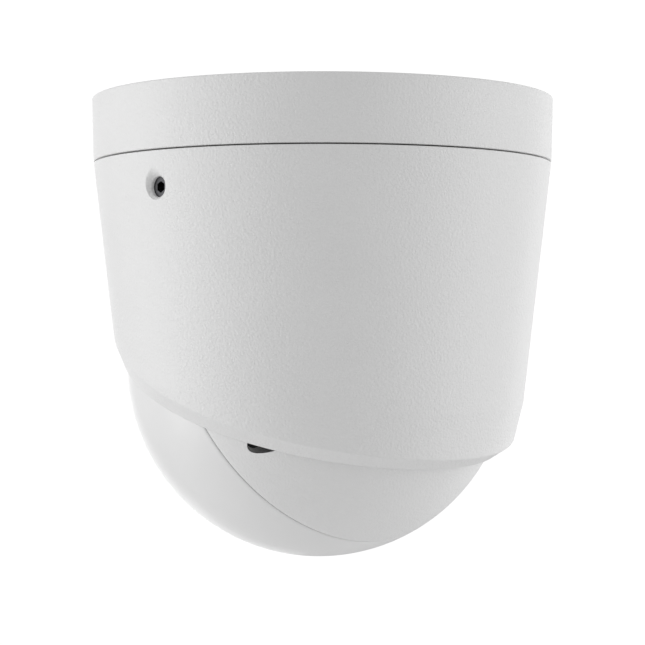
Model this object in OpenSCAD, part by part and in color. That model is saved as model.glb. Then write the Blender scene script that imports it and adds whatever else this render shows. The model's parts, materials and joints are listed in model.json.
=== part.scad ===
// Turret camera for a ceiling: a ball that holds the camera sits in the tilted mouth of a tapered
// housing, and the housing turns on a base that is screwed to the ceiling.
// Origin: centre of the base's ceiling face. +Z points up into the ceiling, the lens faces -Y,
// and the locking screw is on the +X side. Millimetres.

/* [Ball] */
// Diameter of the camera ball
ball_d = 100; // [90:1:120]
// Wall of the two ball shells
shell_wall = 2.8; // [2:0.1:3.5]
// How far the lens axis points below the horizontal, in degrees
lens_dip = 22.7; // [15:0.1:35]
// How far the ball centre stands forward of the base's axis
ball_forward = 1.4; // [0:0.1:2]
// Distance from the ball centre back to the seam between its shells
seam_back = 3.9; // [3:0.1:8]
// Width of the seam between the shells
seam_gap = 0.4; // [0.2:0.1:0.6]
// Radius of the flat front face
face_r = 27; // [26:0.5:30]

/* [Housing] */
// Thickness beside the ball, from the ball to the outside
side_wall = 3.5; // [3.4:0.1:6]
// Wall of the hollow part
housing_wall = 2.6; // [2:0.1:3]
// Taper of the outside, in degrees from the vertical
taper = 6.6; // [4:0.1:9]
// Taper of the skirt below the crease, in degrees from the vertical
skirt_taper = 13.8; // [10:0.1:16]
// Distance from the ball centre down to the crease at the sides
skirt_drop = 4.7; // [2:0.1:8]
// How far the skirt's axis stands behind the base's axis
skirt_back = 0.8; // [0:0.1:2]
// Tilt of the mouth towards the front, in degrees
mouth_tilt = 20; // [15:0.5:22]
// Distance from the ball centre straight down to the mouth
mouth_drop = 10.55; // [9:0.05:12]
// Radius of the mouth's bow, as seen from the side
mouth_bow = 463; // [400:1:600]
// Tilt of the smooth band round the mouth, in degrees
band_tilt = 25.1; // [22:0.1:28]
// Radius of the band, 10 mm along its axis from the ball centre
band_r = 48.9; // [48.9:0.1:50]
// How far the band's axis stands forward of the ball centre
band_forward = 2.4; // [1.5:0.1:3]
// Outward run of the band per millimetre along its axis
band_slope = 0.709; // [0.65:0.001:0.8]
// Height of the band's top edge at the front, above the ball centre
band_front_top = 16.5; // [14:0.1:20]
// Height of the thick neck that turns on the base's spigot
neck_h = 16.2; // [14:0.1:20]
// Thickness of the neck at its top
neck_wall = 6.3; // [6:0.1:8]

/* [Base] */
// Height of the base between the ceiling and the seam
base_h = 16.4; // [14:0.1:20]
// Gap between the base and the housing
base_gap = 0.35; // [0.3:0.05:0.6]
// How much wider the base's radius is at the ceiling than at the seam
base_flare = 0.4; // [0:0.1:1]
// Wall of the base's rim and of its spigot
base_wall = 3; // [2.5:0.1:4]
// Thickness of the plate against the ceiling
plate_t = 3; // [2.5:0.1:4]
// Free height for the cable between the plate and the top of the ball
cable_room = 16.07; // [15:0.01:22]
// Radius of the hole for the cable
cable_hole_r = 13; // [10:0.5:15]
// Distance from the spigot's inside to the mounting screws
mount_inset = 8; // [7:0.5:12]
// Radius of the mounting screw holes
mount_hole_r = 2.25; // [2:0.05:2.75]
// Number of mounting screws
mount_count = 3; // [3:1:4]

/* [Locking screw] */
// Diameter of the locking screw
lock_d = 5; // [4:0.5:5]
// Size across the flats of its socket
lock_socket = 2.5; // [2:0.5:2.5]
// Depth of the screw's end below the housing's surface
lock_depth = 1.8; // [1:0.1:2.2]
// Distance from the base's seam down to the screw
lock_drop = 9; // [7.5:0.1:10]
// Angle of the screw from +X towards the back, in degrees
lock_angle = 4.3; // [0:0.1:10]

/* [Window, lens and lamps] */
// Thickness of the front window
window_t = 2; // [1.5:0.1:2.5]
// Width of the face's rim round the window
window_rim = 3; // [2.8:0.1:4]
// Number of infrared lamps
lamp_count = 8; // [6:1:8]
// Radius of the lens barrel's head
lens_head_r = 8.6; // [8:0.1:9]
// Radius of the lens barrel's threaded body
lens_body_r = 6; // [5.5:0.1:6.5]

/* [Boards and fasteners] */
// Thickness of the circuit boards
board_t = 1.6; // [1:0.1:2]
// Width of the square sensor board
sensor_board_w = 34; // [32:1:38]
// Length of the spacers between the sensor board and the main board
spacer_h = 9; // [7:0.5:12]
// Radius of the three recesses for the shell screws
recess_r = 4.75; // [4.25:0.05:5]
// Distance from the outside of the ball in to the shell screws
shell_screw_inset = 5.5; // [5:0.1:7]
// Radius of the shell screws' shanks
shell_screw_r = 1.5; // [1.25:0.05:1.75]
// Radius of the small screws' shanks
small_screw_r = 1.25; // [1:0.05:1.25]

/* [Cable bush] */
// Radius of the bush that the cable goes through
bush_r = 6; // [5:0.5:7]
// How far the bush stands out of the ball
bush_out = 4; // [3:0.5:5]

/* [Clearances] */
// Gap between the ball and what it turns in
ball_gap = 0.3; // [0.25:0.05:0.5]
// Radial gap between the spigot and the neck
neck_fit = 0.3; // [0.2:0.05:0.5]
// Radial running clearance of a shaft in its hole
run_fit = 0.06; // [0.02:0.01:0.1]
// Gap between two still pieces
still_gap = 0.05; // [0.02:0.01:0.1]

/* [Hidden] */

$fn = 96;
fine = 240;
through = 1;
far = 200;

ball_r = ball_d / 2;
ball_in_r = ball_r - shell_wall;
ball_z = -(plate_t + cable_room + ball_r);
socket_r = ball_r + ball_gap;

// Housing: outside radius at a height, and the heights of its neck
function outside_r(z) = ball_r + side_wall + tan(taper) * (z - ball_z);
function inside_r(z) = outside_r(z) - housing_wall;
seam_z = -base_h;
neck_top = seam_z - base_gap;
neck_floor = neck_top - neck_h;
housing_low = ball_z - ball_r;
spigot_r = outside_r(seam_z) - neck_wall - neck_fit;
spigot_in_r = spigot_r - base_wall;
spigot_floor = neck_floor - 0.05;
retain_t = 3;
retain_gap = 0.3;
retain_z = spigot_floor - retain_gap;
retain_r = inside_r(retain_z - retain_t) - 0.4;
retain_screw_r = spigot_in_r;
retain_boss_r = 3;
mount_boss_h = 2;
mount_circle = spigot_in_r - mount_inset;
gasket_t = 1;
gasket_out_r = outside_r(seam_z) - 2.6;
gasket_in_r = gasket_out_r - 3;
base_seal_z = seam_z - 3.6;
base_seal_at = spigot_r - 0.8;
base_seal_r = 0.95;

// Mouth: distances along its axis from the ball centre, positive outwards
band_r_at = 10;
band_end = 20;
front_band_slope = 0.63;
lip_d = mouth_drop * cos(mouth_tilt) - ball_r * ball_r / (2 * mouth_bow) - 0.5;
seat_wall = 1.3;
seat_r = socket_r + seat_wall;
seat_low = lip_d - 4.2;
clamp_floor = -5;
clamp_h = 6;
clamp_screw_r = socket_r + 2.9;
clamp_tab_r = 2.6;
clamp_tab_t = 2.4;
clamp_head_r = 2.1;
clamp_gap = 0.2;
clamp_angles = [50, 90, 130];
friction_low = lip_d - 1.9;
friction_high = friction_low - 1.4;
friction_t = 1;
friction_hold_r = sqrt(ball_r * ball_r - friction_high * friction_high) + friction_t + 0.2;

// Locking screw
lock_z = seam_z - lock_drop;
lock_face = outside_r(lock_z);
lock_sink = 1;
lock_tip_t = 1.2;
lock_tip_r = lock_d / 2 - 0.6;
groove_depth = 0.8;
groove_w = 2 * lock_tip_r + 0.9;
lock_tip_face = spigot_r - groove_depth + 0.3;
lock_head = lock_face - lock_depth;
lock_tail = lock_tip_face + lock_tip_t;

// Ball: distances along the lens axis from the ball centre, positive towards the lens
face_z = sqrt(ball_r * ball_r - face_r * face_r);
seam_rear = -seam_back - seam_gap / 2;
seam_front = -seam_back + seam_gap / 2;
seam_step = 0.3;
seam_step_w = 0.8;
screw_circle = ball_r - shell_screw_inset;
screw_angles = [90, 210, 330];
recess_floor = -10;
tube_end = -7.4;
boss_end = tube_end + still_gap;
boss_r = 3.6;
tongue_r = ball_in_r - 0.75;
tongue_t = 1.1;
tongue_end = -7;
window_r = face_r - window_rim;
opening_r = window_r - 2.5;
window_top = face_z - 0.3;
seal_t = 0.5;
seat_z = window_top - window_t - seal_t;
seat_back = seat_z - 2.2;
mask_t = 1.2;
mask_top = seat_back - still_gap;
lamp_board_top = seat_back - 4;
lamp_board_r = window_r + 1.5;
lamp_board_in_r = 12.5;
lamp_circle = 17;
lamp_r = 2.2;
shield_r = 10.4;
shield_in_r = 9.2;
lens_top = window_top - window_t - 1.7;
head_h = 7;
lens_low = lens_top - 23;
holder_r = 8.2;
sensor_top = lens_low - 5;
sensor_low = sensor_top - board_t;
main_top = sensor_low - spacer_h;
main_low = main_top - board_t;
main_r = screw_circle - boss_r - 0.6;
post_at = sensor_board_w / 2 - 3;
post_r = 2.5;
frame_top = sensor_top + 10;
frame_t = 2;
frame_low = frame_top - frame_t;
frame_r = 37 - (50 - ball_r);
frame_screw_circle = frame_r - 4;
frame_tube_r = 24;
frame_tube_wall = 2;
chip_w = 14;
chip_t = 1.4;
pad_t = 0.8;
sink_w = 30;
sink_base_t = 2;
sink_fin_h = 9.6;
sink_fin_t = 1.6;
sink_fins = 7;
mic_circle = face_r - window_rim / 2;
mic_r = 2.2;
ribbon_w = 12;
ribbon_t = 0.3;

// Cable bush: distances along the lens axis behind the ball centre
pole_flat = ball_r - 0.9;
pad_r = bush_r + 4;
pole_pad = ball_in_r - 2.2;
flange_r = bush_r + 2.6;
bush_spout_r = bush_r - 1;
bush_bore_r = bush_r - 2.8;
bush_in = pole_pad - 5;

module at_ball() {
  translate([0, -ball_forward, ball_z]) children();
}

// Local +Z is the lens axis
module at_lens() {
  at_ball() rotate([90 + lens_dip, 0, 0]) children();
}

// Local +Z is the mouth's axis, pointing out and down; local +Y is the front
module at_mouth() {
  at_ball() rotate([180 - mouth_tilt, 0, 0]) children();
}

module at_lock() {
  translate([0, 0, lock_z]) rotate([0, 0, lock_angle]) rotate([0, 90, 0]) children();
}

module disc(r, low, high) {
  translate([0, 0, low]) cylinder(r = r, h = high - low);
}

module ring(r_in, r_out, low, high) {
  difference() {
    disc(r_out, low, high);
    disc(r_in, low - through, high + through);
  }
}

module torus(r, section_r) {
  rotate_extrude() translate([r, 0]) circle(r = section_r);
}

module ring_of(angles, r) {
  for (a = angles) rotate([0, 0, a]) translate([r, 0, 0]) children();
}

module at_corners(d) {
  for (x = [-d, d], y = [-d, d]) translate([x, y, 0]) children();
}

function even_angles(count, first) = [for (i = [0 : count - 1]) first + i * 360 / count];

module screw(r, head_r, head_h, length) {
  translate([0, 0, -length]) cylinder(r = r, h = length);
  difference() {
    cylinder(r = head_r, h = head_h);
    translate([0, 0, head_h / 2]) cylinder(r = head_r * 0.5, h = head_h, $fn = 6);
  }
}

// ---- Base ----

module mounting_base() {
  color("white") difference() {
    union() {
      disc(outside_r(seam_z), -plate_t, 0);
      difference() {
        translate([0, 0, seam_z]) {
          cylinder(r1 = outside_r(seam_z), r2 = outside_r(seam_z) + base_flare, h = base_h);
        }
        disc(outside_r(seam_z) - base_wall, seam_z - through, -plate_t);
      }
      ring(spigot_in_r, spigot_r, spigot_floor, -plate_t / 2);
      ring_of(even_angles(mount_count, 30), mount_circle) {
        disc(mount_hole_r + 4, -plate_t - mount_boss_h, -plate_t / 2);
      }
      ring_of(even_angles(4, 45), retain_screw_r) disc(retain_boss_r, spigot_floor, -plate_t / 2);
    }
    disc(cable_hole_r, -far, through);
    ring_of(even_angles(mount_count, 30), mount_circle) disc(mount_hole_r, -far, through);
    ring(gasket_in_r, gasket_out_r, -gasket_t, through);
    ring(spigot_r - groove_depth, far, lock_z - groove_w / 2, lock_z + groove_w / 2);
    translate([0, 0, base_seal_z]) torus(base_seal_at, base_seal_r + still_gap);
    ring_of(even_angles(4, 45), retain_screw_r) {
      disc(small_screw_r, spigot_floor - through, spigot_floor + 8);
    }
    ring_of(even_angles(mount_count, 30), mount_circle) {
      disc(2 * mount_hole_r, -plate_t - mount_boss_h - through, -plate_t - mount_boss_h + 1);
    }
  }
}

module ceiling_gasket() {
  color("dimgray") ring(gasket_in_r + still_gap, gasket_out_r - still_gap, -gasket_t + still_gap, 0);
}

module cable_grommet() {
  color("dimgray") difference() {
    union() {
      disc(cable_hole_r - still_gap, -plate_t - 1, -0.4);
      disc(cable_hole_r + 2.4, -plate_t - 1.4, -plate_t - still_gap);
    }
    disc(cable_hole_r - 2, -far, through);
  }
}

module base_seal() {
  color("black") translate([0, 0, base_seal_z]) torus(base_seal_at, base_seal_r);
}

module retaining_ring() {
  color("silver") difference() {
    union() {
      ring(spigot_in_r, retain_r, retain_z - retain_t, retain_z);
      ring(spigot_in_r, spigot_r, retain_z - through, spigot_floor - still_gap);
      ring_of(even_angles(4, 45), retain_screw_r) {
        disc(retain_boss_r, retain_z - retain_t, spigot_floor - still_gap);
      }
    }
    ring_of(even_angles(4, 45), retain_screw_r) disc(small_screw_r + 0.1, -far, 0);
  }
}

module retaining_screws() {
  color("gray") translate([0, 0, retain_z - retain_t]) {
    ring_of(even_angles(4, 45), retain_screw_r) mirror([0, 0, 1]) {
      screw(small_screw_r - 0.02, 2.3, 1.6, 8);
    }
  }
}

// ---- Housing ----

module housing_outside() {
  translate([0, 0, housing_low]) {
    cylinder(r1 = outside_r(housing_low), r2 = outside_r(neck_top), h = neck_top - housing_low);
  }
}

module housing_inside(gap) {
  translate([0, 0, housing_low]) {
    cylinder(
      r1 = inside_r(housing_low) - gap,
      r2 = inside_r(neck_floor) - gap,
      h = neck_floor - housing_low
    );
  }
}

module skirt() {
  crease_z = ball_z - skirt_drop;
  crease_r = outside_r(crease_z);
  translate([0, skirt_back, housing_low]) {
    cylinder(
      r1 = crease_r - tan(skirt_taper) * (crease_z - housing_low),
      r2 = crease_r - tan(skirt_taper) * crease_z,
      h = -housing_low
    );
  }
}

// Everything inside the smooth band: a tilted cone, and an upright one that ends the band at the front
module band_inside() {
  translate([0, -ball_forward - band_forward, ball_z]) rotate([180 - band_tilt, 0, 0]) {
    translate([0, 0, -far]) {
      cylinder(
        r1 = band_r + band_slope * (band_r_at + far),
        r2 = band_r + band_slope * (band_r_at - band_end),
        h = far + band_end
      );
    }
  }
  front_top = ball_z + band_front_top;
  translate([0, 0, housing_low]) {
    cylinder(
      r1 = outside_r(front_top) - front_band_slope * (front_top - housing_low),
      r2 = outside_r(front_top) - front_band_slope * front_top,
      h = -housing_low
    );
  }
}

// The mouth is bowed: it is cut by a wide cylinder that lies across the housing
module mouth_inside() {
  translate([
    0,
    mouth_bow * sin(mouth_tilt) - ball_forward,
    ball_z - mouth_drop + mouth_bow * cos(mouth_tilt)
  ]) rotate([0, 90, 0]) cylinder(r = mouth_bow, h = 2 * far, center = true, $fn = 1440);
}

module lock_hole() {
  at_lock() {
    disc(lock_d / 2 + run_fit, spigot_r - 2, far);
    translate([0, 0, lock_face - lock_sink]) {
      cylinder(r1 = lock_d / 2 + run_fit, r2 = lock_d / 2 + run_fit + 2, h = 2);
    }
  }
}

module housing_shell() {
  color("white") difference() {
    intersection() {
      housing_outside();
      skirt();
      band_inside();
      mouth_inside();
    }
    intersection() {
      housing_inside(0);
      at_mouth() disc(far, -far, clamp_floor);
    }
    disc(spigot_r + neck_fit, neck_floor - through, 0);
    at_mouth() disc(seat_r + still_gap, clamp_floor - through, seat_low);
    at_ball() sphere(r = socket_r);
    at_mouth() disc(friction_hold_r, friction_high - still_gap, friction_low + still_gap);
    at_mouth() ring_of(clamp_angles, clamp_screw_r) {
      disc(small_screw_r, clamp_floor - through, clamp_floor + 6);
    }
    lock_hole();
  }
}

module ball_seat_ring() {
  $fn = fine;
  color("gainsboro") difference() {
    at_mouth() disc(seat_r, clamp_floor + still_gap, seat_low - still_gap);
    at_ball() sphere(r = socket_r);
  }
}

module friction_ring() {
  color("black") at_mouth() {
    ring(friction_hold_r - friction_t, friction_hold_r - still_gap, friction_high, friction_low);
  }
}

// The back of the ring hooks under the wall, which leans in there; screws hold its front
module clamp_ring() {
  $fn = fine;
  color("dimgray") difference() {
    intersection() {
      housing_inside(clamp_gap);
      at_mouth() union() {
        disc(seat_r - clamp_gap, clamp_floor - clamp_h, clamp_floor);
        ring_of(clamp_angles, clamp_screw_r - clamp_tab_r) {
          translate([-1, -clamp_tab_r, clamp_floor - clamp_tab_t]) {
            cube([2 * clamp_tab_r, 2 * clamp_tab_r, clamp_tab_t]);
          }
        }
      }
    }
    at_ball() sphere(r = socket_r);
    at_mouth() ring_of(clamp_angles, clamp_screw_r) {
      disc(small_screw_r + 0.1, -far, far);
      disc(clamp_head_r + still_gap, -far, clamp_floor - clamp_tab_t);
    }
  }
}

module clamp_screws() {
  color("gray") at_mouth() ring_of(clamp_angles, clamp_screw_r) {
    translate([0, 0, clamp_floor - clamp_tab_t]) mirror([0, 0, 1]) {
      screw(small_screw_r - 0.02, clamp_head_r, 1.6, 7);
    }
  }
}

// ---- Locking screw ----

module locking_screw() {
  color("dimgray") at_lock() difference() {
    disc(lock_d / 2, lock_tail, lock_head);
    translate([0, 0, lock_head - 2]) cylinder(d = lock_socket / cos(30), h = far, $fn = 6);
  }
}

module locking_screw_tip() {
  color("white") at_lock() disc(lock_tip_r, lock_tip_face, lock_tail - still_gap);
}

// ---- Cable bush at the back of the ball ----

module swivel_bush() {
  color("dimgray") at_lens() difference() {
    union() {
      disc(bush_r, -(pole_flat + 1), -bush_in);
      disc(flange_r, -(pole_flat + 2.4), -(pole_flat + 0.1));
      disc(bush_spout_r, -(ball_r + bush_out), -pole_flat);
    }
    disc(bush_bore_r, -far, 0);
  }
}

module bush_washer() {
  color("silver") at_lens() ring(bush_r + still_gap, bush_r + 2.5, -(pole_pad - 0.1), -(pole_pad - 0.7));
}

module bush_nut() {
  color("gray") at_lens() difference() {
    translate([0, 0, -(pole_pad - 0.8)]) cylinder(r = bush_r + 3.2, h = 3, $fn = 6);
    disc(bush_r + still_gap, -far, 0);
  }
}

// ---- Ball ----

module recess_tubes(r, low, high) {
  ring_of(screw_angles, screw_circle) disc(r, low, high);
}

module rear_shell() {
  color("white") at_lens() difference() {
    intersection() {
      sphere(r = ball_r);
      union() {
        difference() {
          disc(ball_r, -pole_flat, seam_rear);
          sphere(r = ball_in_r);
        }
        recess_tubes(recess_r + 1.5, -ball_r, tube_end);
        disc(pad_r, -pole_flat, -pole_pad);
      }
    }
    recess_tubes(recess_r, -far, recess_floor);
    recess_tubes(shell_screw_r + 0.2, -far, 0);
    disc(bush_r + run_fit, -far, 0);
  }
}

module front_shell() {
  color("white") at_lens() difference() {
    union() {
      difference() {
        intersection() {
          sphere(r = ball_r);
          disc(ball_r, seam_front, face_z);
        }
        intersection() {
          sphere(r = ball_in_r);
          disc(ball_r, -far, seat_back);
        }
      }
      intersection() {
        sphere(r = tongue_r);
        union() {
          ring(tongue_r - tongue_t, ball_r, tongue_end, 0);
          recess_tubes(boss_r, boss_end, 0);
        }
      }
      ring(tongue_r - tongue_t, ball_in_r + 0.5, seam_front, 1);
      intersection() {
        sphere(r = ball_in_r + 1);
        union() {
          recess_tubes(boss_r, seam_front, ball_r);
          ring_of(even_angles(3, 30), frame_screw_circle) disc(boss_r, frame_top + still_gap, ball_r);
        }
      }
    }
    disc(opening_r, -far, far);
    disc(window_r + still_gap, seat_z, far);
    ring(ball_r - seam_step, ball_r + 1, seam_front - 1, seam_front + seam_step_w);
    recess_tubes(shell_screw_r, -far, 4);
    ring_of(even_angles(3, 30), frame_screw_circle) disc(small_screw_r, 0, frame_top + 5);
    translate([0, -mic_circle, 0]) disc(0.6, 0, far);
  }
}

module shell_seal() {
  $fn = fine;
  color("black") at_lens() difference() {
    ring(tongue_r - 0.3, ball_in_r + 0.6, seam_rear + still_gap, seam_front - still_gap);
    sphere(r = tongue_r + still_gap);
  }
}

module shell_screws() {
  color("gray") at_lens() ring_of(screw_angles, screw_circle) {
    translate([0, 0, recess_floor]) mirror([0, 0, 1]) screw(shell_screw_r - 0.02, 2.8, 2.6, 13);
  }
}

module front_window() {
  color("lightblue", 0.5) at_lens() disc(window_r, window_top - window_t, window_top);
}

module window_seal() {
  color("black") at_lens() ring(opening_r + 0.2, window_r - 0.3, seat_z, window_top - window_t);
}

module front_mask() {
  color("black") at_lens() difference() {
    ring(shield_r + 0.2, window_r - 1, mask_top - mask_t, mask_top);
    ring_of(lamp_angles(), lamp_circle) disc(lamp_r + 0.5, 0, far);
    ring_of([270], lamp_circle) disc(1.8, 0, far);
  }
}

function lamp_angles() = even_angles(lamp_count, 270 + 180 / lamp_count);

module light_shield() {
  color("black") at_lens() {
    ring(shield_in_r, shield_r, lamp_board_top - 3, window_top - window_t - still_gap);
  }
}

module lens_barrel() {
  color("dimgray") at_lens() difference() {
    union() {
      disc(lens_head_r, lens_top - head_h, lens_top);
      disc(lens_body_r, lens_low, lens_top);
    }
    translate([0, 0, lens_top - 3.2]) cylinder(r1 = lens_body_r - 1, r2 = lens_head_r - 0.6, h = 3.25);
    disc(lens_body_r - 1, lens_low - through, lens_top - 3);
  }
}

module lens_element(r, low, thickness, bulge) {
  at_lens() intersection() {
    disc(r, low, low + thickness);
    translate([0, 0, low + thickness - (r * r + bulge * bulge) / (2 * bulge)]) {
      sphere(r = (r * r + bulge * bulge) / (2 * bulge));
    }
  }
}

module front_lens() {
  color("lightblue") lens_element(lens_body_r - 1 - still_gap, lens_top - 6, 4, 2.4);
}

module middle_lens() {
  color("lightblue") lens_element(lens_body_r - 1 - still_gap, lens_top - 12.5, 3, 1.2);
}

module rear_lens() {
  color("lightblue") lens_element(lens_body_r - 1 - still_gap, lens_low + 1.5, 3, 1);
}

module lens_lock_ring() {
  color("gray") at_lens() {
    ring(lens_body_r + still_gap, holder_r, frame_top + 1, lens_top - head_h - still_gap);
  }
}

module lens_holder() {
  color("black") at_lens() difference() {
    union() {
      translate([-9, -9, sensor_top + still_gap]) cube([18, 18, 4]);
      disc(holder_r, sensor_top + still_gap, frame_top + 1 - still_gap);
    }
    disc(lens_body_r + still_gap, lens_low - still_gap, far);
    translate([-5.2, -5.2, sensor_top - through]) cube([10.4, 10.4, 3 + through]);
    disc(4, 0, far);
  }
}

module infrared_filter() {
  color("teal") at_lens() translate([-4.8, -4.8, sensor_top + 2.2]) cube([9.6, 9.6, 0.7]);
}

module image_sensor() {
  color("slategray") at_lens() translate([-4.5, -4, sensor_top]) cube([9, 8, 1.5]);
}

module sensor_board() {
  color("darkgreen") at_lens() difference() {
    translate([-sensor_board_w / 2, -sensor_board_w / 2, sensor_low]) {
      cube([sensor_board_w, sensor_board_w, board_t]);
    }
    at_corners(post_at) disc(small_screw_r + 0.15, -far, far);
  }
}

module board_spacers() {
  color("gold") at_lens() at_corners(post_at) {
    ring(small_screw_r + 0.15, post_r, main_top + still_gap, sensor_low - still_gap);
  }
}

module board_screws() {
  color("gray") at_lens() at_corners(post_at) translate([0, 0, main_low]) mirror([0, 0, 1]) {
    screw(small_screw_r - 0.02, 2.3, 1.6, spacer_h + 2 * board_t + 5);
  }
}

module main_board() {
  color("darkgreen") at_lens() difference() {
    disc(main_r, main_low, main_top);
    at_corners(post_at) disc(small_screw_r + 0.15, -far, far);
  }
}

module processor_chip() {
  color("black") at_lens() translate([-chip_w / 2, -chip_w / 2, main_low - chip_t]) {
    cube([chip_w, chip_w, chip_t]);
  }
}

module thermal_pad() {
  color("lightsteelblue") at_lens() {
    translate([-chip_w / 2, -chip_w / 2, main_low - chip_t - pad_t]) cube([chip_w, chip_w, pad_t]);
  }
}

module heat_sink() {
  sink_top = main_low - chip_t - pad_t;
  fin_pitch = (sink_w - sink_fin_t) / (sink_fins - 1);
  color("silver") at_lens() difference() {
    union() {
      translate([-sink_w / 2, -sink_w / 2, sink_top - sink_base_t]) cube([sink_w, sink_w, sink_base_t]);
      for (i = [0 : sink_fins - 1]) {
        translate([-sink_w / 2 + i * fin_pitch, -sink_w / 2, sink_top - sink_base_t - sink_fin_h]) {
          cube([sink_fin_t, sink_w, sink_fin_h + through]);
        }
      }
    }
    at_corners(post_at) disc(3, -far, far);
  }
}

module lamp_board() {
  color("white") at_lens() ring(lamp_board_in_r, lamp_board_r, lamp_board_top - board_t, lamp_board_top);
}

module infrared_lamps() {
  color("lightyellow") at_lens() ring_of(lamp_angles(), lamp_circle) {
    translate([-2.4, -2.4, lamp_board_top]) cube([4.8, 4.8, 0.9]);
    intersection() {
      disc(lamp_r, lamp_board_top, lamp_board_top + 3.4);
      translate([0, 0, lamp_board_top + 0.9]) sphere(r = 2.5);
    }
  }
}

module light_sensor() {
  color("lightyellow") at_lens() ring_of([270], lamp_circle) {
    disc(1.5, lamp_board_top, lamp_board_top + 2.2);
  }
}

module inner_frame() {
  color("dimgray") at_lens() difference() {
    union() {
      disc(frame_r, frame_low, frame_top);
      ring(frame_tube_r - frame_tube_wall, frame_tube_r, frame_low, lamp_board_top - board_t - still_gap);
      at_corners(post_at) disc(post_r, sensor_top + still_gap, frame_top);
    }
    disc(holder_r + 0.5, -far, far);
    ring_of(even_angles(3, 30), frame_screw_circle) disc(small_screw_r + 0.15, -far, far);
    at_corners(post_at) disc(small_screw_r, -far, frame_top - 0.5);
  }
}

module frame_screws() {
  color("gray") at_lens() ring_of(even_angles(3, 30), frame_screw_circle) {
    translate([0, 0, frame_low]) mirror([0, 0, 1]) screw(small_screw_r - 0.02, 2.3, 1.6, frame_t + 4);
  }
}

module microphone() {
  color("silver") at_lens() translate([0, -mic_circle, 0]) {
    disc(mic_r, seat_back - 2, seat_back - still_gap);
  }
}

module card_socket() {
  color("silver") at_lens() translate([14.5 + post_r, -7, main_top]) cube([15, 14, 2]);
}

module board_connectors() {
  color("ivory") at_lens() {
    translate([-30, -12, main_top]) cube([5, 10, 5]);
    translate([-30, 2, main_top]) cube([5, 10, 5]);
  }
}

// The ribbon bends round from under the sensor board to the top of the main board
module ribbon_cable() {
  mid = (sensor_low + main_top) / 2;
  bend = (sensor_low - main_top) / 2 - still_gap;
  ends = -sensor_board_w / 2 + 5;
  turn = -sensor_board_w / 2 - 1;
  arc = [for (a = [90 : 10 : 270]) a];
  outer = [for (a = arc) [turn + bend * cos(a), mid + bend * sin(a)]];
  inside = bend - ribbon_t;
  inner = [for (a = arc) [turn + inside * cos(a), mid - inside * sin(a)]];
  low_end = [[ends, mid - bend], [ends, mid - bend + ribbon_t]];
  high_end = [[ends, mid + bend - ribbon_t], [ends, mid + bend]];
  color("sandybrown") at_lens() translate([-ribbon_w / 2, 0, 0]) rotate([90, 0, 90]) {
    linear_extrude(height = ribbon_w) polygon(concat(outer, low_end, inner, high_end));
  }
}

mounting_base();
ceiling_gasket();
cable_grommet();
base_seal();
retaining_ring();
retaining_screws();
housing_shell();
ball_seat_ring();
friction_ring();
clamp_ring();
clamp_screws();
locking_screw();
locking_screw_tip();
swivel_bush();
bush_washer();
bush_nut();
rear_shell();
front_shell();
shell_seal();
shell_screws();
front_window();
window_seal();
front_mask();
light_shield();
lens_barrel();
front_lens();
middle_lens();
rear_lens();
lens_lock_ring();
lens_holder();
infrared_filter();
image_sensor();
sensor_board();
board_spacers();
board_screws();
main_board();
processor_chip();
thermal_pad();
heat_sink();
lamp_board();
infrared_lamps();
light_sensor();
inner_frame();
frame_screws();
microphone();
card_socket();
board_connectors();
ribbon_cable();
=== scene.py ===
import json
import math
import bpy
import bmesh
from mathutils import Matrix, Vector


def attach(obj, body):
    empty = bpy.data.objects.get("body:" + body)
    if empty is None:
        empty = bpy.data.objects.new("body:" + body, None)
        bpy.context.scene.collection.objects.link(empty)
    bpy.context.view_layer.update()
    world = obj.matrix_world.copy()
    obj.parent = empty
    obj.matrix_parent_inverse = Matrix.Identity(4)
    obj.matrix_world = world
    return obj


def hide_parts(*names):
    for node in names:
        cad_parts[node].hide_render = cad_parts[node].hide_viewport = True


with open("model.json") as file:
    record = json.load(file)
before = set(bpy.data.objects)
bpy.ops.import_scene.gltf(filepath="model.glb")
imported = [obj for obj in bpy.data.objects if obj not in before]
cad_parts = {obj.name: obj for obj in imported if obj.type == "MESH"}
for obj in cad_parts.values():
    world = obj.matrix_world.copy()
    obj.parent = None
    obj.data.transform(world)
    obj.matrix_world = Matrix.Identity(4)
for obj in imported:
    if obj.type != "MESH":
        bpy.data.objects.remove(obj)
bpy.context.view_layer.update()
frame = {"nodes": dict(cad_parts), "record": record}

# ---- Sizes ----
# They are in millimetres and radians, as in the CAD. Heights are measured from the ceiling, up.

MM = 0.001

# Base: its outside widens by the flare from its lower edge, at the seam, to the ceiling
BASE_R = 59.617
BASE_FLARE = 0.4
BASE_WALL = 3
PLATE_T = 3.0
SEAM_Z = -16.4
GASKET_OUT = 57.0
GASKET_IN = 54.0
GASKET_DEPTH = 1
CABLE_R = 13.0
SPIGOT_R = 53.0
SPIGOT_IN = 50.0

# Mounting holes, with the bosses that they go through
MOUNT_CIRCLE_R = 42
MOUNT_COUNT = 3
BOSS_R = 6.25
BOSS_LOW = -6
HEAD_R = 4.5
HEAD_SEAT = -5.0
HOLE_R = 2.25

# Ball
BALL_R = 50.0
BALL_IN = 47.2
BALL_Y = -1.4
BALL_Z = -69.07
LENS_DIP = math.radians(22.7)

# Housing: a cone that narrows downwards, then a steeper skirt below the crease
SIDE_WALL = 3.5
HOUSING_WALL = 2.6
SOCKET_R = BALL_R + 0.3
NECK_TOP = -16.75
NECK_FLOOR = -32.95
NECK_GAP = 0.3
TAPER = math.tan(math.radians(6.6))
SKIRT_TAPER = math.tan(math.radians(13.8))
SKIRT_Y = 0.8
CREASE_Z = BALL_Z - 4.7

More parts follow.
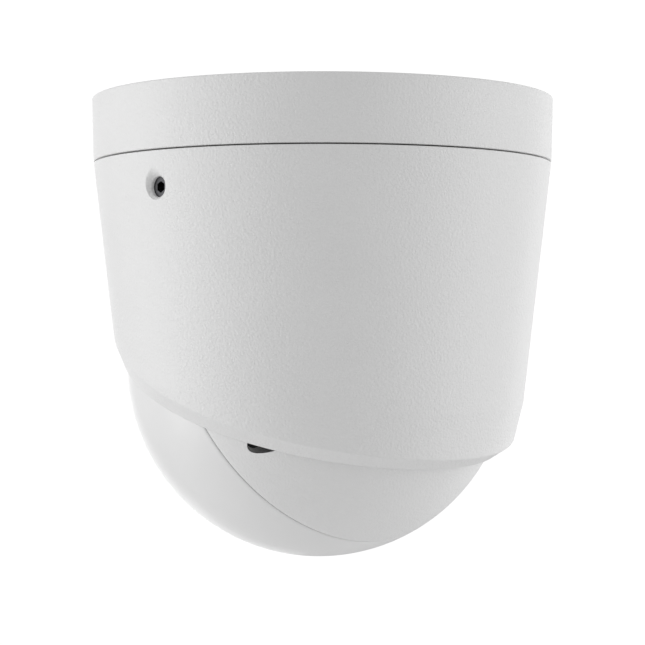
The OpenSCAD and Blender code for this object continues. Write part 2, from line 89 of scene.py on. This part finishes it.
# Smooth band round the mouth: a cone about a tilted axis, and at the front an upright cone.
# The tilted cone has the radius BAND_R at BAND_FOOT along its axis.
BAND_TILT = math.radians(25.1)
BAND_R = 48.9
BAND_SLOPE = 0.709
BAND_Y = BALL_Y - 2.4
BAND_FOOT = 10
FRONT_TOP = BALL_Z + 16.5
FRONT_SLOPE = 0.63

# Mouth: the housing ends on a tilted cylinder of a large radius
BOW = 463.0
MOUTH_TILT = math.radians(20)
MOUTH_Z = BALL_Z - 10.55

# Locking screw's hole
LOCK_Z = -25.4
LOCK_ANGLE = math.radians(4.3)
LOCK_R = 2.56
LOCK_FLOOR = 49

# Ball shells, along the lens axis from the ball's centre
SEAM_REAR = -4.1
SEAM_FRONT = -3.7
FACE_R = 27.0
FACE_Z = math.sqrt(BALL_R ** 2 - FACE_R ** 2)
WINDOW_R = 24.0
WINDOW_GAP = 0.05
WINDOW_T = 2.0
WINDOW_TOP = FACE_Z - 0.3
OPENING_R = 21.5
SEAT_Z = WINDOW_TOP - WINDOW_T - 0.5
SEAT_BACK = SEAT_Z - 2.2
SOUND_HOLE_R = 0.6
POLE_FLAT = 49.1
BUSH_R = 6.06
BUSH_LEDGE = 4
BUSH_FLOOR = -BALL_IN + 2.2

# Recesses of the shell screws: a bore in a tube that is closed at its front end
RECESS_ANGLES = (88, 208, 328)
RECESS_CIRCLE = 43.75
RECESS_R = 5.0
RECESS_WALL = 1.5
RECESS_FLOOR = -10.0
TUBE_START = -24
TUBE_END = -7.4
SHANK_R = 1.7

# Columns of quads round a skin
HOUSING_COLUMNS = 720
SKIN_COLUMNS = 360

AT_LENS = (
    Matrix.Translation((0, BALL_Y * MM, BALL_Z * MM))
    @ Matrix.Rotation(math.pi / 2 + LENS_DIP, 4, "X")
)
AT_LOCK = (
    Matrix.Translation((0, 0, LOCK_Z * MM))
    @ Matrix.Rotation(LOCK_ANGLE, 4, "Z")
    @ Matrix.Rotation(math.pi / 2, 4, "Y")
)


# ---- Mesh helpers ----

def add_object(name, mesh):
    obj = bpy.data.objects.new(name, mesh)
    bpy.context.scene.collection.objects.link(obj)
    return obj


def fix_normals(mesh):
    bm = bmesh.new()
    bm.from_mesh(mesh)
    bmesh.ops.recalc_face_normals(bm, faces=bm.faces)
    bm.to_mesh(mesh)
    bm.free()


def smooth(obj, angle):
    """Shades smooth, apart from edges sharper than the angle, in degrees."""
    mesh = obj.data
    mesh.polygons.foreach_set("use_smooth", [True] * len(mesh.polygons))
    mesh.set_sharp_from_angle(angle=math.radians(angle))


def ring(r, z, columns):
    """Points of a level circle round the axis."""
    turns = [2 * math.pi * c / columns for c in range(columns)]
    return [(r * math.cos(a), r * math.sin(a), z) for a in turns]


def evenly(start, end, count):
    return [start + (end - start) * k / count for k in range(count + 1)]


def grid_mesh(name, rings, second=()):
    """A closed tube of quads through rings of points, the last of which meets the first.

    The faces after the rings numbered in second get the second material.
    """
    columns = len(rings[0])
    points = [Vector(p) * MM for points in rings for p in points]
    faces = []
    for i in range(len(rings)):
        j = (i + 1) % len(rings)
        for c in range(columns):
            d = (c + 1) % columns
            faces.append((i * columns + c, i * columns + d, j * columns + d, j * columns + c))
    mesh = bpy.data.meshes.new(name)
    mesh.from_pydata(points, [], faces)
    for k, poly in enumerate(mesh.polygons):
        poly.material_index = 1 if k // columns in second else 0
    fix_normals(mesh)
    return mesh


def lathe(name, outline, matrix=Matrix.Identity(4), second=()):
    """A ring-shaped solid from a closed outline of (r, z)."""
    mesh = grid_mesh(name, [ring(r, z, SKIN_COLUMNS) for r, z in outline], second)
    mesh.transform(matrix)
    return add_object(name, mesh)


def plug(name, outline, columns, matrix):
    """A solid of revolution from an open outline of (r, z), closed with flat ends."""
    bm = bmesh.new()
    rings = []
    for r, z in outline:
        rings.append([bm.verts.new((x * MM, y * MM, h * MM)) for x, y, h in ring(r, z, columns)])
    for a, b in zip(rings, rings[1:]):
        for c in range(columns):
            d = (c + 1) % columns
            bm.faces.new((a[c], a[d], b[d], b[c]))
    bm.faces.new(rings[0])
    bm.faces.new(rings[-1])
    bmesh.ops.recalc_face_normals(bm, faces=bm.faces)
    mesh = bpy.data.meshes.new(name)
    bm.to_mesh(mesh)
    bm.free()
    mesh.transform(matrix)
    return add_object(name, mesh)


def combine(obj, tool, operation):
    """Adds, cuts or intersects with a tool, which is used up."""
    mod = obj.modifiers.new("combine", "BOOLEAN")
    mod.object = tool
    mod.operation = operation
    mod.solver = "EXACT"
    bpy.context.view_layer.update()
    shown = obj.evaluated_get(bpy.context.evaluated_depsgraph_get())
    mesh = bpy.data.meshes.new_from_object(shown)
    obj.modifiers.clear()
    obj.data = mesh
    bpy.data.objects.remove(tool, do_unlink=True)


def arc(radius, start, end, step):
    """Points of a circle round the ball's centre, from one angle to another, in degrees."""
    count = max(2, int(abs(end - start) / step))
    angles = [math.radians(start + (end - start) * k / count) for k in range(count + 1)]
    return [(radius * math.cos(a), radius * math.sin(a)) for a in angles]


def latitude(height, radius):
    """Angle, in degrees, at which a circle round the ball's centre has this height."""
    return math.degrees(math.asin(height / radius))


def rounded(corners, steps=5):
    """Turns corners (r, z, radius) of a closed outline into points, with each corner rounded."""
    out = []
    count = len(corners)
    for i, (x, y, radius) in enumerate(corners):
        here = Vector((x, y))
        if radius <= 0:
            out.append((x, y))
            continue
        before = (Vector(corners[i - 1][:2]) - here).normalized()
        after = (Vector(corners[(i + 1) % count][:2]) - here).normalized()
        half = before.angle(after) / 2
        centre = here + (before + after).normalized() * radius / math.sin(half)
        start = here + before * radius / math.tan(half) - centre
        end = here + after * radius / math.tan(half) - centre
        turn = start.angle_signed(end)
        for k in range(steps + 1):
            a = -turn * k / steps
            p = centre + Vector((
                start.x * math.cos(a) - start.y * math.sin(a),
                start.x * math.sin(a) + start.y * math.cos(a),
            ))
            out.append((p.x, p.y))
    return out


# ---- Housing ----

def outside_r(z):
    return BALL_R + SIDE_WALL + TAPER * (z - BALL_Z)


def skirt_r(angle, z):
    here = outside_r(CREASE_Z) + SKIRT_TAPER * (z - CREASE_Z)
    return SKIRT_Y * math.sin(angle) + math.sqrt(here ** 2 - (SKIRT_Y * math.cos(angle)) ** 2)


def wall_r(angle, z):
    return min(outside_r(z), skirt_r(angle, z))


def cone_r(angle, z):
    """Radius at which the tilted cone of the band is met at this height.

    A point lies on the cone where its distance from the tilted axis is the cone's radius there,
    which is a quadratic in the point's distance from the upright axis.
    """
    ux, uy = math.cos(angle), math.sin(angle)
    axis_y, axis_z = -math.sin(BAND_TILT), -math.cos(BAND_TILT)
    from_y, from_z = -BAND_Y, z - BALL_Z
    along = uy * axis_y
    start = from_y * axis_y + from_z * axis_z
    cone = BAND_R + BAND_SLOPE * (BAND_FOOT - start)
    slope = BAND_SLOPE * along
    a = 1 - along * along - slope * slope
    b = 2 * (uy * from_y - along * start + cone * slope)
    c = from_y * from_y + from_z * from_z - start * start - cone * cone
    return (-b + math.sqrt(b * b - 4 * a * c)) / (2 * a)


def band_r(angle, z):
    return max(cone_r(angle, z), outside_r(FRONT_TOP) + FRONT_SLOPE * (z - FRONT_TOP))


def mouth_z(y):
    cy = BOW * math.sin(MOUTH_TILT) + BALL_Y
    cz = MOUTH_Z + BOW * math.cos(MOUTH_TILT)
    return cz - math.sqrt(BOW ** 2 - (y - cy) ** 2)


def off_socket(r, uy):
    """Whether the mouth's surface, at this radius, is outside the ball's socket."""
    y = r * uy
    return r * r - 2 * y * BALL_Y + BALL_Y ** 2 + (mouth_z(y) - BALL_Z) ** 2 > SOCKET_R ** 2


def socket_r(angle, z):
    """Radius of the ball's socket at this height, off centre by the ball's place."""
    flat = math.sqrt(max(SOCKET_R ** 2 - (z - BALL_Z) ** 2, 1))
    across = BALL_Y * math.cos(angle)
    return BALL_Y * math.sin(angle) + math.sqrt(max(flat ** 2 - across ** 2, 1))


def halve(low, high, inside):
    """The height or radius at which a test changes from false (low) to true (high)."""
    for _ in range(40):
        mid = (low + high) / 2
        if inside(mid):
            high = mid
        else:
            low = mid
    return high


# Rounded top edge of the housing: how far each row is below the top and behind the wall
TOP_EDGE = ((0.0, 0.35), (0.06, 0.12), (0.2, 0.02), (0.45, 0.0))
# Rows down the band, across the lip and up the socket, as shares of the way
BAND_ROWS = (0.03, 0.08, 0.16, 0.3, 0.44, 0.58, 0.72, 0.84, 0.92, 0.965)
LIP_ROWS = (0.12, 0.3, 0.6, 0.88)
SOCKET_ROWS = (0.03, 0.1, 0.3, 0.6, 1.0)
# Rows on the wall and on the skirt, which end this far from the crease and the band
WALL_ROWS = 84
SKIRT_ROWS = 26
ROWS_STOP = 0.4
# The crease has a row this far above it and one below, and the band has one above its top
CREASE_ROUND = 0.15
BAND_ROUND = 0.14
# Least heights of the skirt and of the socket, and where the socket ends below the ball's centre
LEAST_SKIRT = 1.2
LEAST_SOCKET = 4
SOCKET_TOP = BALL_Z - 1
# Least wall outside the socket, and how far the inside of the wall starts above the socket
LEAST_WALL = 1
SOCKET_STEP = 2
# Heights between which the housing's lower edges lie, and a radius inside the socket's edge
SEARCH_LOW = -100
SEARCH_HIGH = -40
SEARCH_R = 40


def outer_heights(crease, band_top):
    """Heights of the rows from under the top edge to the top of the band."""
    heights = evenly(NECK_TOP - TOP_EDGE[-1][0], crease + ROWS_STOP, WALL_ROWS)[1:]
    heights += [crease + CREASE_ROUND, crease - CREASE_ROUND]
    heights += evenly(crease - ROWS_STOP, band_top + ROWS_STOP, SKIRT_ROWS)
    return heights + [band_top + BAND_ROUND]


def housing_column(angle):
    """Outline of the housing at one angle, as (r, z), and the number of rows above the band."""
    uy = math.sin(angle)

    def search(test):
        return halve(SEARCH_LOW, SEARCH_HIGH, test)

    band_top = search(lambda z: wall_r(angle, z) < band_r(angle, z))
    edge = search(lambda z: z > mouth_z(band_r(angle, z) * uy))
    crease = max(search(lambda z: outside_r(z) < skirt_r(angle, z)), band_top + LEAST_SKIRT)
    column = [(wall_r(angle, NECK_TOP - drop) - back, NECK_TOP - drop) for drop, back in TOP_EDGE]
    column += [(wall_r(angle, z), z) for z in outer_heights(crease, band_top)]
    above = len(column)
    for share in BAND_ROWS:
        z = band_top - share * (band_top - edge)
        column.append((band_r(angle, z), z))
    outer = band_r(angle, edge)
    inner = halve(SEARCH_R, outer, lambda r: off_socket(r, uy))
    for share in LIP_ROWS:
        r = outer + (inner - outer) * share
        column.append((r, mouth_z(r * uy)))
    low = mouth_z(inner * uy)
    top = max(SOCKET_TOP, low + LEAST_SOCKET)
    for share in SOCKET_ROWS:
        z = low + (top - low) * share
        column.append((min(socket_r(angle, z), wall_r(angle, z) - LEAST_WALL), z))
    for z in (top + SOCKET_STEP, (top + NECK_FLOOR) / 2, NECK_FLOOR):
        column.append((outside_r(z) - HOUSING_WALL, z))
    column.append((SPIGOT_R + NECK_GAP, NECK_FLOOR))
    column.append((SPIGOT_R + NECK_GAP, NECK_TOP))
    return column, above


def housing_mesh():
    outlines = []
    for c in range(HOUSING_COLUMNS):
        outline, above = housing_column(2 * math.pi * c / HOUSING_COLUMNS)
        outlines.append(outline)
    rings = []
    for i in range(len(outlines[0])):
        points = []
        for c, outline in enumerate(outlines):
            a = 2 * math.pi * c / HOUSING_COLUMNS
            r, z = outline[i]
            points.append((r * math.cos(a), r * math.sin(a), z))
        rings.append(points)
    smooth_rows = len(BAND_ROWS) + len(LIP_ROWS)
    return grid_mesh("housing_skin", rings, range(above, above + smooth_rows))


def housing_skin():
    obj = add_object("housing_skin", housing_mesh())
    face = outside_r(LOCK_Z)
    # The hole, then its countersink, with both of its edges eased
    outline = [
        (LOCK_R, LOCK_FLOOR), (LOCK_R, face - 1.05), (LOCK_R + 0.04, face - 0.98),
        (LOCK_R + 0.98, face - 0.04), (LOCK_R + 1.12, face + 0.06), (LOCK_R + 1.5, face + 0.3),
        (LOCK_R + 3, face + 1),
    ]
    combine(obj, plug("lock_cutter", outline, 96, AT_LOCK), "DIFFERENCE")
    smooth(obj, 32)
    put_materials(obj, "housing_paint", "band_paint")
    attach(obj, "housing")
    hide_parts("housing_shell")


# ---- Base ----

def boss_outline():
    """A round boss with its lower edge rounded, which starts inside the plate."""
    near_axis = BOSS_R * 0.02
    radius = 0.6
    steps = 4
    out = [(near_axis, BOSS_LOW)]
    for k in range(steps + 1):
        a = math.radians(90 * k / steps)
        out.append((BOSS_R - radius + radius * math.sin(a), BOSS_LOW + radius - radius * math.cos(a)))
    top = -PLATE_T + 0.5
    return out + [(BOSS_R, top), (near_axis, top)]


def base_skin():
    corners = [
        (CABLE_R, 0, 0.25), (GASKET_IN, 0, 0.1), (GASKET_IN, -GASKET_DEPTH, 0),
        (GASKET_OUT, -GASKET_DEPTH, 0), (GASKET_OUT, 0, 0.1), (BASE_R + BASE_FLARE, 0, 0.5),
        (BASE_R, SEAM_Z, 0.3), (BASE_R - BASE_WALL, SEAM_Z, 0.2),
        (BASE_R - BASE_WALL, -PLATE_T, 0.5), (SPIGOT_R, -PLATE_T, 0.5), (SPIGOT_R, NECK_FLOOR, 0.3),
        (SPIGOT_IN, NECK_FLOOR, 0.3), (SPIGOT_IN, -PLATE_T, 0.5), (CABLE_R, -PLATE_T, 0.25),
    ]
    obj = lathe("base_skin", rounded(corners))
    hole = [
        (HEAD_R, BOSS_LOW - 1), (HEAD_R, HEAD_SEAT), (HOLE_R, HEAD_SEAT), (HOLE_R, -0.3),
        (HOLE_R + 0.35, 0.05), (HOLE_R + 0.75, 0.5),
    ]
    for k in range(MOUNT_COUNT):
        turn = Matrix.Rotation(math.radians(30 + 360 / MOUNT_COUNT * k), 4, "Z")
        spot = turn @ Matrix.Translation((MOUNT_CIRCLE_R * MM, 0, 0))
        combine(obj, plug("boss", boss_outline(), 64, spot), "UNION")
        combine(obj, plug("hole", hole, 64, spot), "DIFFERENCE")
    smooth(obj, 32)
    put_materials(obj, "housing_paint")
    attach(obj, "base")
    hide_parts("mounting_base")


# ---- Ball ----

def front_skin():
    """Front shell: seam, sphere, rounded shoulder and flat face, window seat, opening, inside."""
    outline = [(BALL_IN + 0.4, SEAM_FRONT), (BALL_R - 0.3, SEAM_FRONT)]
    outline += [(BALL_R - 0.27, SEAM_FRONT + 0.02), (BALL_R - 0.14, SEAM_FRONT + 0.26)]
    outline += arc(BALL_R, latitude(SEAM_FRONT + 0.36, BALL_R), latitude(FACE_Z, BALL_R) - 0.9, 0.9)
    outline += [(FACE_R + 0.36, FACE_Z - 0.22), (FACE_R, FACE_Z - 0.07), (FACE_R - 0.4, FACE_Z)]
    seat_r = WINDOW_R + WINDOW_GAP
    outline += [(WINDOW_R + 0.25, FACE_Z), (WINDOW_R + 0.09, FACE_Z - 0.05), (seat_r, FACE_Z - 0.2)]
    outline += [(seat_r, SEAT_Z), (OPENING_R, SEAT_Z), (OPENING_R, SEAT_BACK)]
    outline += arc(BALL_IN, latitude(SEAT_BACK, BALL_IN), latitude(SEAM_FRONT, BALL_IN), 3)
    # The seam's flat end faces get black rubber: painted shade of the dark gap between the two shells.
    painted_seam_shade_rows = (0, len(outline) - 1)
    obj = lathe("front_skin", outline, AT_LENS, painted_seam_shade_rows)
    spot = AT_LENS @ Matrix.Translation((0, -(FACE_R - 1.5) * MM, 0))
    hole = [
        (SOUND_HOLE_R, FACE_Z - 4.2), (SOUND_HOLE_R, FACE_Z - 0.15),
        (SOUND_HOLE_R + 0.15, FACE_Z + 0.02), (SOUND_HOLE_R + 0.4, FACE_Z + 0.3),
    ]
    combine(obj, plug("hole", hole, 32, spot), "DIFFERENCE")
    smooth(obj, 35)
    put_materials(obj, "shell_paint", "rubber")
    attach(obj, "ball")
    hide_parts("front_shell")


def add_recess(obj, angle):
    """A closed tube on the rear shell's inside, with the bore and the screw's hole in it."""
    turn = Matrix.Rotation(math.radians(angle), 4, "Z")
    spot = AT_LENS @ turn @ Matrix.Translation((RECESS_CIRCLE * MM, 0, 0))
    tube_r = RECESS_R + RECESS_WALL
    tube = plug("tube", [(tube_r, TUBE_START), (tube_r, TUBE_END)], 96, spot)
    ball = plug("ball", arc(BALL_R - 0.15, -89.9, 89.9, 2), 128, AT_LENS)
    combine(tube, ball, "INTERSECT")
    combine(obj, tube, "UNION")
    bore = [(RECESS_R, -40), (RECESS_R, RECESS_FLOOR)]
    combine(obj, plug("hole", bore, 128, spot), "DIFFERENCE")
    shank = [(SHANK_R, RECESS_FLOOR - 4), (SHANK_R, 0)]
    combine(obj, plug("shank", shank, 48, spot), "DIFFERENCE")


def rear_skin():
    """Rear shell: seam, sphere, flat pole with the bush's hole and its ledge, inside."""
    outline = [(BALL_IN + 0.2, SEAM_REAR), (BALL_R - 0.2, SEAM_REAR)]
    outline += arc(BALL_R, latitude(SEAM_REAR - 0.12, BALL_R), latitude(-POLE_FLAT, BALL_R), 0.9)
    flat_r = math.sqrt(BALL_R ** 2 - POLE_FLAT ** 2)
    ledge_r = BUSH_R + BUSH_LEDGE
    outline += [(flat_r - 0.3, -POLE_FLAT), (BUSH_R, -POLE_FLAT), (BUSH_R, BUSH_FLOOR)]
    outline += [(ledge_r, BUSH_FLOOR)]
    start = -math.degrees(math.acos(ledge_r / BALL_IN))
    outline += arc(BALL_IN, start, latitude(SEAM_REAR, BALL_IN), 3)
    # The seam's flat end face gets black rubber: painted shade of the dark gap between the two shells.
    obj = lathe("rear_skin", outline, AT_LENS, (0,))
    for angle in RECESS_ANGLES:
        add_recess(obj, angle)
    smooth(obj, 35)
    put_materials(obj, "rear_paint", "rubber")
    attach(obj, "ball")
    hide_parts("rear_shell")


# ---- Materials ----

class Nodes:
    """A material's node tree, with short calls for what the materials below need."""

    def __init__(self, name):
        self.material = bpy.data.materials.new(name)
        self.material.use_nodes = True
        self.tree = self.material.node_tree
        self.shader = self.tree.nodes["Principled BSDF"]
        self.place = self.tree.nodes.new("ShaderNodeTexCoord").outputs["Object"]

    def add(self, kind, sockets, **settings):
        """A node with these settings, and these values on its sockets."""
        node = self.tree.nodes.new(kind)
        for key, value in settings.items():
            setattr(node, key, value)
        for key, value in sockets.items():
            node.inputs[key].default_value = value
        return node

    def link(self, a, b):
        self.tree.links.new(a, b)

    def set(self, socket, value):
        self.shader.inputs[socket].default_value = value

    def noise(self, size_mm, detail=3, roughness=0.5, distortion=0):
        node = self.add("ShaderNodeTexNoise", {
            "Scale": 1 / (size_mm * MM),
            "Detail": detail,
            "Roughness": roughness,
            "Distortion": distortion,
        })
        self.link(self.place, node.inputs["Vector"])
        return node.outputs["Fac"]

    def cells(self, size_mm):
        node = self.add("ShaderNodeTexVoronoi", {"Scale": 1 / (size_mm * MM)}, feature="SMOOTH_F1")
        self.link(self.place, node.inputs["Vector"])
        return node.outputs["Distance"]

    def blend(self, a, b, share):
        node = self.add("ShaderNodeMix", {0: share})
        self.link(a, node.inputs[2])
        self.link(b, node.inputs[3])
        return node.outputs[0]

    def colour(self, field, dark, light):
        """Sets the base colour, from dark to light over the middle of a field's range."""
        node = self.add("ShaderNodeValToRGB", {})
        low, high = node.color_ramp.elements
        low.position = 0.3
        high.position = 0.7
        low.color = (*dark, 1)
        high.color = (*light, 1)
        self.link(field, node.inputs["Fac"])
        self.link(node.outputs["Color"], self.shader.inputs["Base Color"])

    def roughness(self, field, low, high):
        node = self.add("ShaderNodeMapRange", {
            "From Min": 0.3,
            "From Max": 0.7,
            "To Min": low,
            "To Max": high,
        })
        self.link(field, node.inputs["Value"])
        self.link(node.outputs["Result"], self.shader.inputs["Roughness"])

    def bump(self, field, depth_mm):
        node = self.add("ShaderNodeBump", {"Distance": depth_mm * MM, "Strength": 1.0})
        self.link(field, node.inputs["Height"])
        self.link(node.outputs["Normal"], self.shader.inputs["Normal"])


def grey(value):
    return (value, value, value)


def textured_paint(name, level, depth):
    """White powder coat: a fine leathery stipple of pebbles and dimples under a satin coat."""
    n = Nodes(name)
    pebbles = n.cells(0.62)
    grain = n.noise(0.5, 2, 0.6, 0.6)
    slow = n.noise(14, 2)
    n.colour(n.blend(grain, slow, 0.5), grey(level * 0.975), grey(level))
    n.roughness(slow, 0.42, 0.5)
    n.bump(n.blend(pebbles, grain, 0.55), depth)
    return n.material


def smooth_paint(name, level, low, high):
    """White satin paint with a faint orange peel and slow changes of gloss."""
    n = Nodes(name)
    peel = n.noise(1.6, 2, 0.4)
    slow = n.noise(18, 2)
    n.colour(slow, grey(level * 0.985), grey(level))
    n.roughness(slow, low, high)
    n.bump(peel, 0.012)
    return n.material


def moulded(name, dark, light, low, high):
    """Moulded plastic: a fine grain, and faint flow marks in its shade."""
    n = Nodes(name)
    grain = n.noise(0.4, 3, 0.6)
    flow = n.noise(6, 3, 0.5, 1.5)
    n.colour(n.blend(grain, flow, 0.6), dark, light)
    n.roughness(flow, low, high)
    n.bump(grain, 0.02)
    return n.material


def metal(name, dark, light, low, high, grain_mm=0.25, depth=0.01):
    """Bare metal with machining marks, duller in patches."""
    n = Nodes(name)
    marks = n.noise(grain_mm, 4, 0.7, 0.2)
    patches = n.noise(3, 3)
    n.colour(n.blend(marks, patches, 0.5), dark, light)
    n.roughness(patches, low, high)
    n.bump(marks, depth)
    n.set("Metallic", 1)
    return n.material


def rubber(name):
    """Black rubber, matt, with a little dust."""
    n = Nodes(name)
    grain = n.noise(0.3, 4, 0.7)
    dust = n.noise(5, 4, 0.6)
    n.colour(dust, (0.02, 0.02, 0.021), (0.04, 0.04, 0.041))
    n.roughness(dust, 0.62, 0.8)
    n.bump(grain, 0.03)
    return n.material


def board(name, dark, light, copper):
    """Circuit board: solder mask with rows of tracks under it."""
    n = Nodes(name)
    tracks = n.add("ShaderNodeTexBrick", {
        "Scale": 1 / (6 * MM),
        "Mortar Size": 0.06,
        "Color1": (*dark, 1),
        "Color2": (*light, 1),
        "Mortar": (*copper, 1),
    })
    n.link(n.place, tracks.inputs["Vector"])
    n.link(tracks.outputs["Color"], n.shader.inputs["Base Color"])
    n.roughness(n.noise(4, 3), 0.28, 0.4)
    n.bump(tracks.outputs["Fac"], 0.03)
    return n.material


def glass(name, colour, rough=0.015):
    """Coated glass, with a trace of dust in its gloss."""
    n = Nodes(name)
    dust = n.noise(2.5, 5, 0.65)
    n.roughness(dust, rough, rough + 0.035)
    n.bump(n.noise(9, 2), 0.002)
    n.set("Base Color", (*colour, 1))
    n.set("Transmission Weight", 1)
    n.set("IOR", 1.5)
    n.set("Coat Weight", 0.3)
    return n.material


def lamp_dome(name):
    """Cast epoxy, clear but a little cloudy."""
    n = Nodes(name)
    cloud = n.noise(1.2, 3)
    n.colour(cloud, (0.7, 0.68, 0.6), (0.85, 0.83, 0.76))
    n.roughness(cloud, 0.12, 0.22)
    n.bump(cloud, 0.01)
    n.set("Transmission Weight", 0.6)
    return n.material


def ribbon(name):
    """Amber film with parallel tracks."""
    n = Nodes(name)
    lines = n.add(
        "ShaderNodeTexWave", {"Scale": 1 / (8 * MM)}, wave_type="BANDS", bands_direction="X"
    )
    n.link(n.place, lines.inputs["Vector"])
    n.colour(lines.outputs["Fac"], (0.42, 0.2, 0.06), (0.62, 0.36, 0.12))
    n.roughness(n.noise(3, 2), 0.3, 0.42)
    n.bump(lines.outputs["Fac"], 0.03)
    return n.material


WHITE = 0.80


def make_materials():
    """The record's material slots, and two paints that only the skins have."""
    return {
        "housing_paint": textured_paint("housing_paint", WHITE, 0.2),
        "band_paint": smooth_paint("band_paint", WHITE, 0.36, 0.42),
        "rear_paint": textured_paint("rear_paint", WHITE, 0.16),
        "shell_paint": smooth_paint("shell_paint", WHITE, 0.3, 0.36),
        "black_plastic": moulded(
            "black_plastic", (0.012, 0.012, 0.013), (0.03, 0.03, 0.031), 0.42, 0.58
        ),
        "grey_plastic": moulded("grey_plastic", (0.1, 0.1, 0.105), (0.16, 0.16, 0.165), 0.4, 0.55),
        "white_nylon": moulded("white_nylon", (0.72, 0.71, 0.68), (0.8, 0.79, 0.76), 0.35, 0.5),
        "cream_plastic": moulded("cream_plastic", (0.66, 0.61, 0.48), (0.76, 0.71, 0.58), 0.35, 0.5),
        "rubber": rubber("rubber"),
        "steel": metal("steel", (0.5, 0.5, 0.51), (0.66, 0.66, 0.67), 0.25, 0.42),
        "dark_steel": metal("dark_steel", (0.04, 0.04, 0.043), (0.1, 0.1, 0.105), 0.32, 0.5),
        "aluminium": metal(
            "aluminium", (0.62, 0.63, 0.65), (0.8, 0.81, 0.83), 0.34, 0.5, 0.15, 0.02
        ),
        "brass": metal("brass", (0.6, 0.42, 0.14), (0.76, 0.56, 0.24), 0.22, 0.38),
        "circuit_board": board(
            "circuit_board", (0.004, 0.09, 0.035), (0.006, 0.11, 0.04), (0.03, 0.2, 0.08)
        ),
        "white_board": board(
            "white_board", (0.74, 0.74, 0.72), (0.78, 0.78, 0.76), (0.6, 0.6, 0.58)
        ),
        "window_glass": glass("window_glass", (0.72, 0.74, 0.76)),
        "lens_glass": glass("lens_glass", (0.72, 0.8, 0.95), 0.005),
        "filter_glass": glass("filter_glass", (0.5, 0.85, 0.82)),
        "lamp_dome": lamp_dome("lamp_dome"),
        "thermal_pad": moulded("thermal_pad", (0.3, 0.42, 0.55), (0.38, 0.5, 0.62), 0.6, 0.75),
        "ribbon": ribbon("ribbon"),
    }


def put_materials(obj, *names):
    obj.data.materials.clear()
    for name in names:
        obj.data.materials.append(materials[name])


def dress_nodes():
    """Gives each CAD node the material of its slot in the record."""
    for sub in frame["record"]["subparts"]:
        node = frame["nodes"][sub["node"]]
        for slot in node.material_slots:
            slot.material = materials[sub["material_slot"]]


# ---- Stage ----

# The camera looks level at the object's axis, from behind it on the side with the locking screw
VIEW_AZIMUTH = math.radians(47.5)
VIEW_DISTANCE = 493.24
VIEW_Z = -58
FOCAL_LENGTH = 104.93
TO_VIEWER = Vector((math.cos(VIEW_AZIMUTH), math.sin(VIEW_AZIMUTH), 0))
TO_RIGHT = Vector((-math.sin(VIEW_AZIMUTH), math.cos(VIEW_AZIMUTH), 0))

# Softboxes: the angle from the camera's side to the right, in degrees, and the power in watts
SOFTBOXES = ((-90, 4.9), (-65, 2.4), (65, 1.8), (90, 3.3), (140, 2.2), (-165, 2.2))

# Strength of the white surroundings, as the camera sees them and as they light the object
SEEN_STRENGTH = 1.05
LIT_STRENGTH = 0.54

# Half the floor's width, and its height, in metres
FLOOR_HALF = 1.5
FLOOR_Z = -0.62


def make_camera():
    data = bpy.data.cameras.new("camera")
    data.lens = FOCAL_LENGTH
    data.sensor_width = 36
    data.clip_start = 0.01
    data.clip_end = 50
    cam = add_object("camera", data)
    cam.location = TO_VIEWER * VIEW_DISTANCE * MM + Vector((0, 0, VIEW_Z * MM))
    cam.rotation_euler = (-TO_VIEWER).to_track_quat("-Z", "Y").to_euler()
    bpy.context.scene.camera = cam


def strip_light(angle, power):
    """A tall softbox a metre from the object."""
    data = bpy.data.lights.new("strip_light", "AREA")
    data.shape = "RECTANGLE"
    data.size = 0.45
    data.size_y = 1.6
    data.energy = power
    light = add_object("strip_light", data)
    aim = Vector((0, 0, -0.06))
    turn = math.radians(angle)
    light.location = aim + TO_VIEWER * math.cos(turn) + TO_RIGHT * math.sin(turn)
    light.rotation_euler = (aim - light.location).to_track_quat("-Z", "Y").to_euler()


def make_world():
    """White surroundings, brighter to the camera than to the object."""
    world = bpy.data.worlds.new("studio")
    bpy.context.scene.world = world
    world.use_nodes = True
    tree = world.node_tree
    seen = tree.nodes["Background"]
    seen.inputs["Color"].default_value = (1, 1, 1, 1)
    seen.inputs["Strength"].default_value = SEEN_STRENGTH
    lit = tree.nodes.new("ShaderNodeBackground")
    lit.inputs["Color"].default_value = (1, 1, 1, 1)
    lit.inputs["Strength"].default_value = LIT_STRENGTH
    path = tree.nodes.new("ShaderNodeLightPath")
    mix = tree.nodes.new("ShaderNodeMixShader")
    tree.links.new(path.outputs["Is Camera Ray"], mix.inputs["Fac"])
    tree.links.new(lit.outputs["Background"], mix.inputs[1])
    tree.links.new(seen.outputs["Background"], mix.inputs[2])
    tree.links.new(mix.outputs["Shader"], tree.nodes["World Output"].inputs["Surface"])
    bpy.context.scene.view_settings.view_transform = "Standard"


def make_floor():
    corners = [(-1, -1), (1, -1), (1, 1), (-1, 1)]
    mesh = bpy.data.meshes.new("floor")
    mesh.from_pydata([(x * FLOOR_HALF, y * FLOOR_HALF, FLOOR_Z) for x, y in corners], [], [(0, 1, 2, 3)])
    floor = add_object("floor", mesh)
    n = Nodes("floor")
    n.colour(n.noise(120, 2), grey(0.72), grey(0.74))
    n.roughness(n.noise(60, 2), 0.8, 0.9)
    floor.data.materials.append(n.material)


materials = make_materials()
dress_nodes()
housing_skin()
base_skin()
front_skin()
rear_skin()
make_camera()
for angle, power in SOFTBOXES:
    strip_light(angle, power)
make_world()
make_floor()
